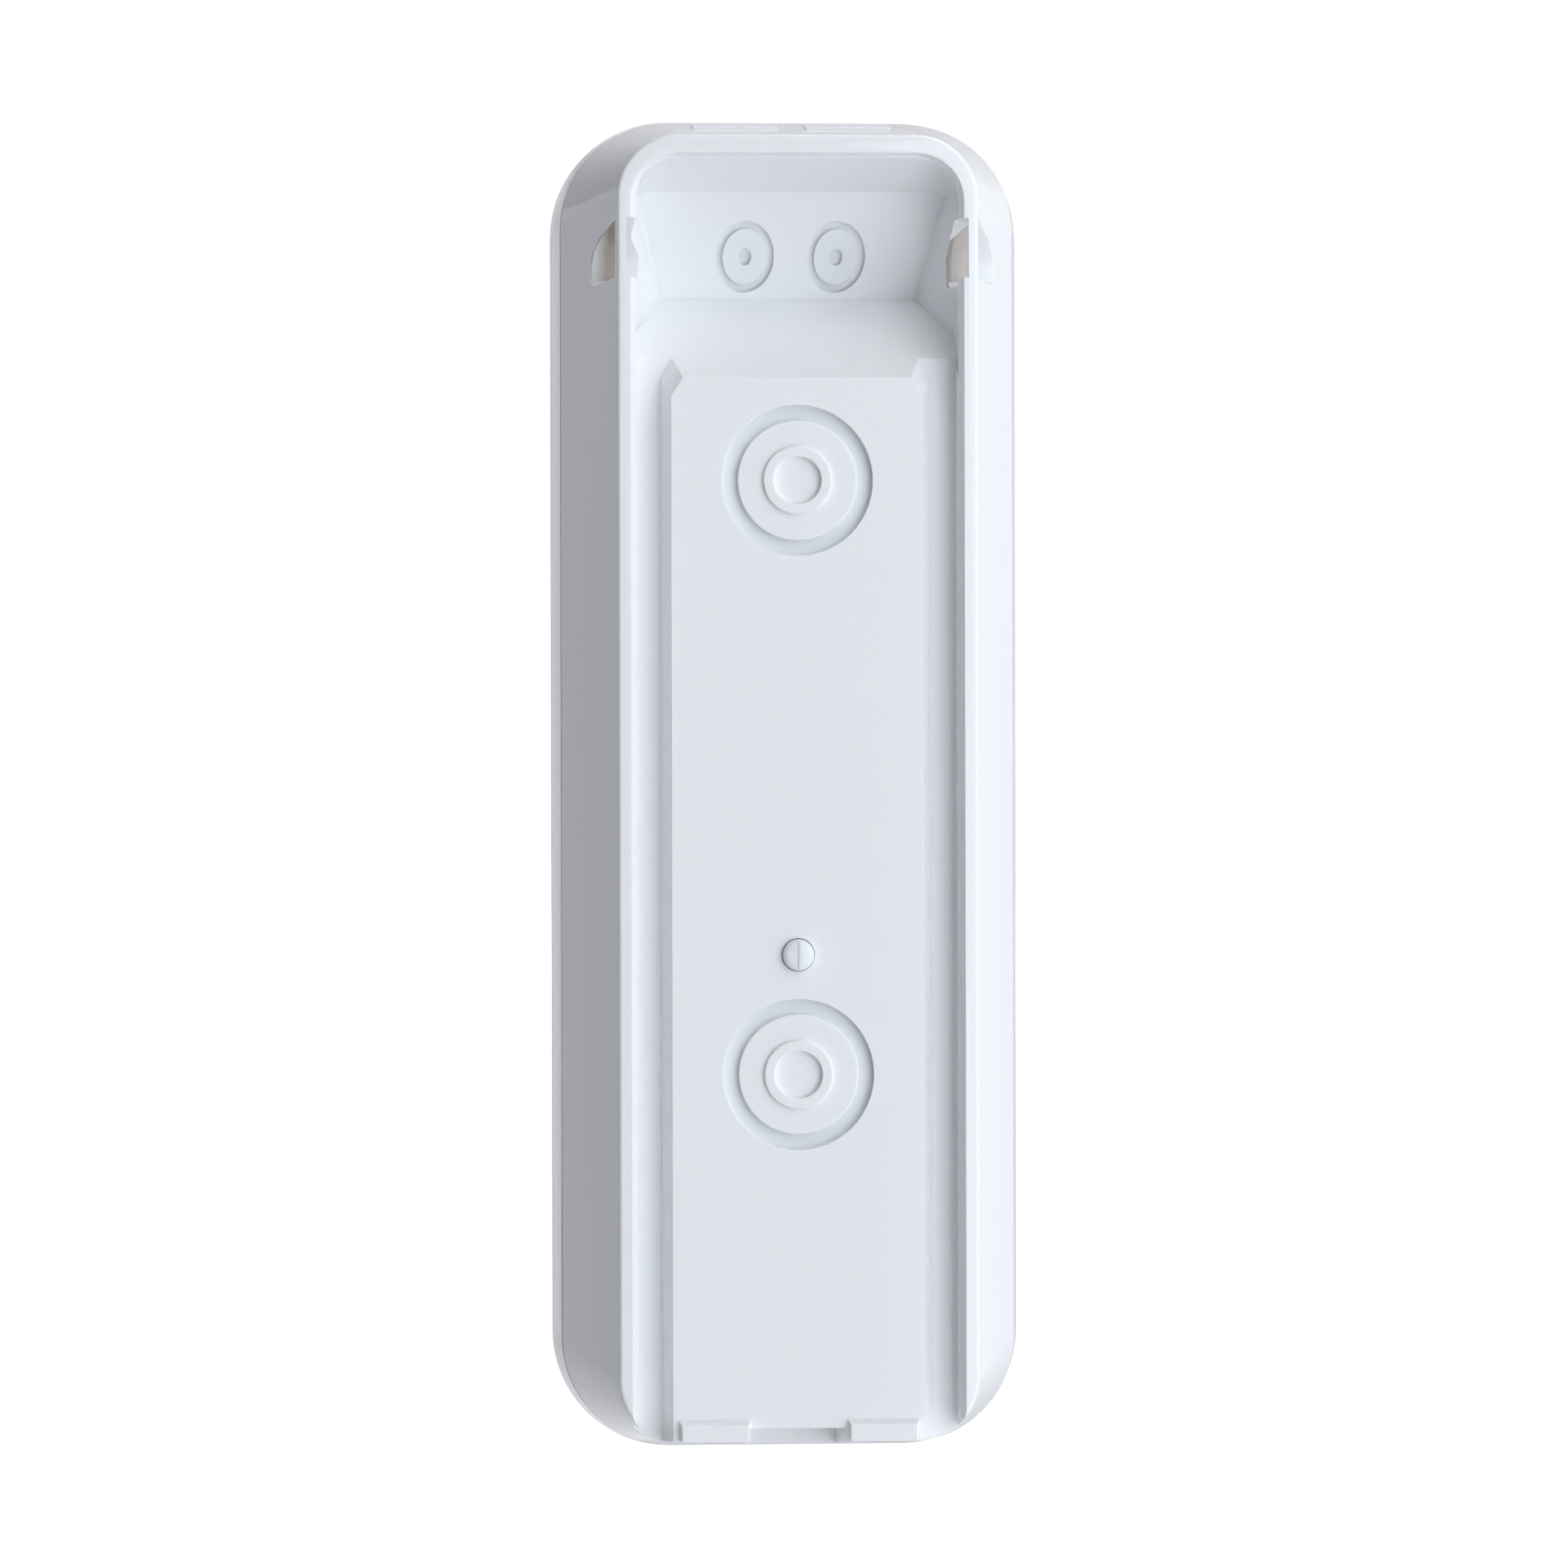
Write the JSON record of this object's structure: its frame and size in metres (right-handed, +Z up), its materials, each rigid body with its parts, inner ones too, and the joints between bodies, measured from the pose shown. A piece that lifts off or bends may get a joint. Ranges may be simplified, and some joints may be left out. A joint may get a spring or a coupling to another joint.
{
  "type": "video doorbell",
  "caption": "Slide-on battery video doorbell body with a rear bracket channel, sprung tamper plunger, contact pocket, camera panel and sprung push button.",
  "frame": {"origin": "centre of the rear rim plane, the plane that faces the wall", "axes": "+Z up along the body, +Y out of the back towards the wall, front faces -Y"},
  "size_m": [0.05, 0.0272, 0.142],
  "materials": {
    "housing_shell": "smooth glossy white shell",
    "cover_shell": "smooth glossy white front",
    "seal_rubber": "soft grey silicone",
    "cap_plastic": "smooth white cap",
    "screw_steel": "plated screw",
    "contact_plate": "white coated contact",
    "spring_brass": "brass strip",
    "plunger_plastic": "white moulded plunger",
    "spring_steel": "wound spring wire",
    "switch_body": "black switch body",
    "circuit_board": "green solder mask",
    "chip_plastic": "black moulded package",
    "shield_metal": "plain tinned sheet",
    "battery_wrap": "blue film wrap",
    "foam_tape": "black foam tape",
    "lead_plastic": "cream connector and lead",
    "bezel_black": "gloss black panel",
    "lens_glass": "clear lens window",
    "barrel_black": "black lens barrel",
    "flex_film": "amber film cable",
    "led_clear": "clear moulded lamp",
    "motion_white": "milky sensor lens",
    "speaker_metal": "black speaker frame",
    "mesh_fabric": "woven dust mesh",
    "button_plastic": "white push button",
    "ring_clear": "translucent light ring"
  },
  "bodies": {
    "housing": {"rear_housing": "housing_shell", "front_cover": "cover_shell", "housing_seal": "seal_rubber", "cap_upper": "cap_plastic", "cap_lower": "cap_plastic", "case_screws": "screw_steel", "board_screws": "screw_steel", "camera_screws": "screw_steel", "contact_left": "contact_plate", "contact_right": "contact_plate", "contact_strips": "spring_brass", "tamper_spring": "spring_steel", "tamper_switch": "switch_body", "main_board": "circuit_board", "board_chips": "chip_plastic", "shield_can": "shield_metal", "wifi_antenna": "shield_metal", "battery_pack": "battery_wrap", "battery_pads": "foam_tape", "battery_lead": "lead_plastic", "lock_insert": "spring_brass", "camera_bezel": "bezel_black", "lens_cover": "lens_glass", "sensor_board": "circuit_board", "lens_holder": "chip_plastic", "lens_barrel": "barrel_black", "camera_flex": "flex_film", "infrared_leds": "led_clear", "motion_lens": "motion_white", "motion_sensor": "shield_metal", "speaker": "speaker_metal", "speaker_gasket": "foam_tape", "speaker_mesh": "mesh_fabric", "microphone": "shield_metal", "microphone_boot": "seal_rubber", "light_ring": "ring_clear", "button_switch": "switch_body", "button_spring": "spring_steel", "ring_leds": "led_clear"},
    "button": {"button_cap": "button_plastic"},
    "plunger": {"tamper_plunger": "plunger_plastic"}
  },
  "joints": [
    {"name": "button_press", "type": "slide", "parent": "housing", "child": "button", "axis": [0, 1, 0], "range_m": [0, 0.0005], "stiffness_N_per_m": 3000, "springref_m": -0.0002, "deforming": ["button_spring"]},
    {"name": "plunger_press", "type": "slide", "parent": "housing", "child": "plunger", "axis": [0, -1, 0], "range_m": [0, 0.0008], "stiffness_N_per_m": 600, "springref_m": -0.0005, "deforming": ["tamper_spring"]}
  ]
}
